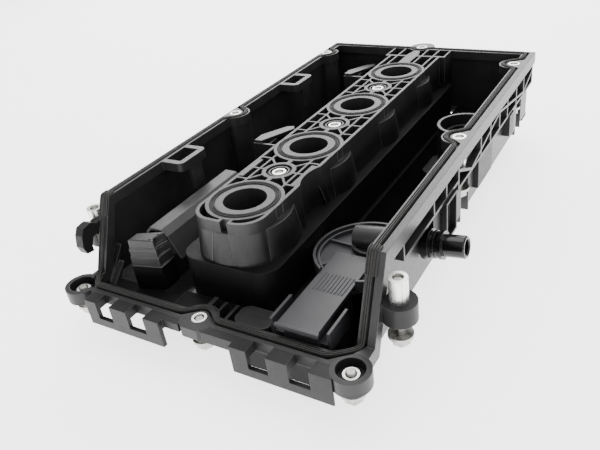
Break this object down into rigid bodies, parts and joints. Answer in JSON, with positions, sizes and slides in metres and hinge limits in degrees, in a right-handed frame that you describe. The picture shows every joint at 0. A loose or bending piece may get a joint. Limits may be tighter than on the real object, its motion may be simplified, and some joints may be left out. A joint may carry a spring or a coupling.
{
  "type": "camshaft cover",
  "caption": "Moulded plastic camshaft cover lying on its outer side, with gasket, plug wells, captive bolts in steel sleeves, oil separator, breather nozzle and filler cap.",
  "frame": {"origin": "centre of the front plug well, on the plane of the gasket face", "axes": "+Z out of the gasket face, so the outer side of the cover points to -Z; +Y along the row of plug wells, away from the low timing end; +X towards the side with the breather nozzle"},
  "size_m": [0.2622, 0.4295, 0.0882],
  "materials": {
    "black_plastic": "satin, glass-filled nylon",
    "grey_plastic": "satin",
    "gloss_black_plastic": "gloss",
    "seal_rubber": "dull",
    "zinc_steel": "zinc plated",
    "sleeve_steel": "bright",
    "spring_steel": "drawn wire"
  },
  "bodies": {
    "cover": {"baffle_block": "black_plastic", "baffle_hood": "grey_plastic", "bracket_front_left": "black_plastic", "bracket_front_right": "black_plastic", "breather_disc": "grey_plastic", "breather_pipe": "gloss_black_plastic", "filler_collar": "black_plastic", "filler_neck": "black_plastic", "front_pads": "black_plastic", "hose_nozzle": "gloss_black_plastic", "nozzle_ring": "gloss_black_plastic", "panels_right": "black_plastic", "perimeter_gasket": "seal_rubber", "plug_seal_1": "seal_rubber", "plug_seal_2": "seal_rubber", "plug_seal_3": "seal_rubber", "plug_seal_4": "seal_rubber", "plug_tube_1": "black_plastic", "plug_tube_2": "black_plastic", "plug_tube_3": "black_plastic", "plug_tube_4": "black_plastic", "roof_left": "black_plastic", "roof_right": "black_plastic", "separator_duct": "grey_plastic", "sleeves_centre": "sleeve_steel", "sleeves_front": "sleeve_steel", "sleeves_side": "sleeve_steel", "sleeves_tall": "sleeve_steel", "spine_base": "black_plastic", "spine_bay_1": "black_plastic", "spine_bay_2": "black_plastic", "spine_bay_3": "black_plastic", "spine_nose": "black_plastic", "spine_tail": "black_plastic", "splash_fins": "black_plastic", "truss_right": "black_plastic", "tube_boss_left": "black_plastic", "tube_boss_right": "black_plastic", "valve_housing": "black_plastic", "wall_back": "black_plastic", "wall_front": "black_plastic", "wall_left": "black_plastic", "wall_right": "black_plastic", "valve_spring": "spring_steel"},
    "bolt_left_mid_body": {"bolt_left_mid": "zinc_steel"},
    "bolt_left_back_body": {"bolt_left_back": "zinc_steel"},
    "bolt_right_mid_body": {"bolt_right_mid": "zinc_steel"},
    "bolt_right_back_body": {"bolt_right_back": "zinc_steel"},
    "bolt_back_body": {"bolt_back": "zinc_steel"},
    "bolt_tall_left_body": {"bolt_tall_left": "zinc_steel"},
    "bolt_tall_right_body": {"bolt_tall_right": "zinc_steel"},
    "bolt_front_left_body": {"bolt_front_left": "zinc_steel"},
    "bolt_front_mid_body": {"bolt_front_mid": "zinc_steel"},
    "bolt_front_right_body": {"bolt_front_right": "zinc_steel"},
    "bolt_centre_1_body": {"bolt_centre_1": "zinc_steel"},
    "bolt_centre_2_body": {"bolt_centre_2": "zinc_steel"},
    "bolt_centre_3_body": {"bolt_centre_3": "zinc_steel"},
    "seal_ring": {"filler_seal": "seal_rubber"},
    "oil_cap": {"filler_cap": "black_plastic"},
    "diaphragm": {"valve_diaphragm": "seal_rubber"}
  },
  "joints": [
    {"name": "bolt_left_mid_slide", "type": "slide", "parent": "cover", "child": "bolt_left_mid_body", "axis": [0, 0, 1], "range_m": [0, 0.0057]},
    {"name": "bolt_left_back_slide", "type": "slide", "parent": "cover", "child": "bolt_left_back_body", "axis": [0, 0, 1], "range_m": [0, 0.0057]},
    {"name": "bolt_right_mid_slide", "type": "slide", "parent": "cover", "child": "bolt_right_mid_body", "axis": [0, 0, 1], "range_m": [0, 0.0057]},
    {"name": "bolt_right_back_slide", "type": "slide", "parent": "cover", "child": "bolt_right_back_body", "axis": [0, 0, 1], "range_m": [0, 0.0057]},
    {"name": "bolt_back_slide", "type": "slide", "parent": "cover", "child": "bolt_back_body", "axis": [0, 0, 1], "range_m": [0, 0.0057]},
    {"name": "bolt_tall_left_slide", "type": "slide", "parent": "cover", "child": "bolt_tall_left_body", "axis": [0, 0, 1], "range_m": [0, 0.0105]},
    {"name": "bolt_tall_right_slide", "type": "slide", "parent": "cover", "child": "bolt_tall_right_body", "axis": [0, 0, 1], "range_m": [0, 0.0105]},
    {"name": "bolt_front_left_slide", "type": "slide", "parent": "cover", "child": "bolt_front_left_body", "axis": [0, 0, 1], "range_m": [0, 0.0052]},
    {"name": "bolt_front_mid_slide", "type": "slide", "parent": "cover", "child": "bolt_front_mid_body", "axis": [0, 0, 1], "range_m": [0, 0.0052]},
    {"name": "bolt_front_right_slide", "type": "slide", "parent": "cover", "child": "bolt_front_right_body", "axis": [0, 0, 1], "range_m": [0, 0.0052]},
    {"name": "bolt_centre_1_slide", "type": "slide", "parent": "cover", "child": "bolt_centre_1_body", "axis": [0, 0, 1], "range_m": [0, 0.0057]},
    {"name": "bolt_centre_2_slide", "type": "slide", "parent": "cover", "child": "bolt_centre_2_body", "axis": [0, 0, 1], "range_m": [0, 0.0057]},
    {"name": "bolt_centre_3_slide", "type": "slide", "parent": "cover", "child": "bolt_centre_3_body", "axis": [0, 0, 1], "range_m": [0, 0.0057]},
    {"name": "cap_lift", "type": "slide", "parent": "cover", "child": "seal_ring", "axis": [0, 0, -1], "range_m": [0, 0.016]},
    {"name": "cap_turn", "type": "hinge", "parent": "seal_ring", "child": "oil_cap", "pos_m": [0.064, 0.22, -0.08], "axis": [0, 0, -1], "range_deg": [0, 1440]},
    {"name": "diaphragm_slide", "type": "slide", "parent": "cover", "child": "diaphragm", "axis": [0, 0, 1], "range_m": [-0.003, 0.001], "stiffness_N_per_m": 120, "deforming": ["valve_spring"]}
  ],
  "couplings": [
    {"joint": "cap_lift", "follows": "cap_turn", "m_per_rad": 0.00063662}
  ]
}
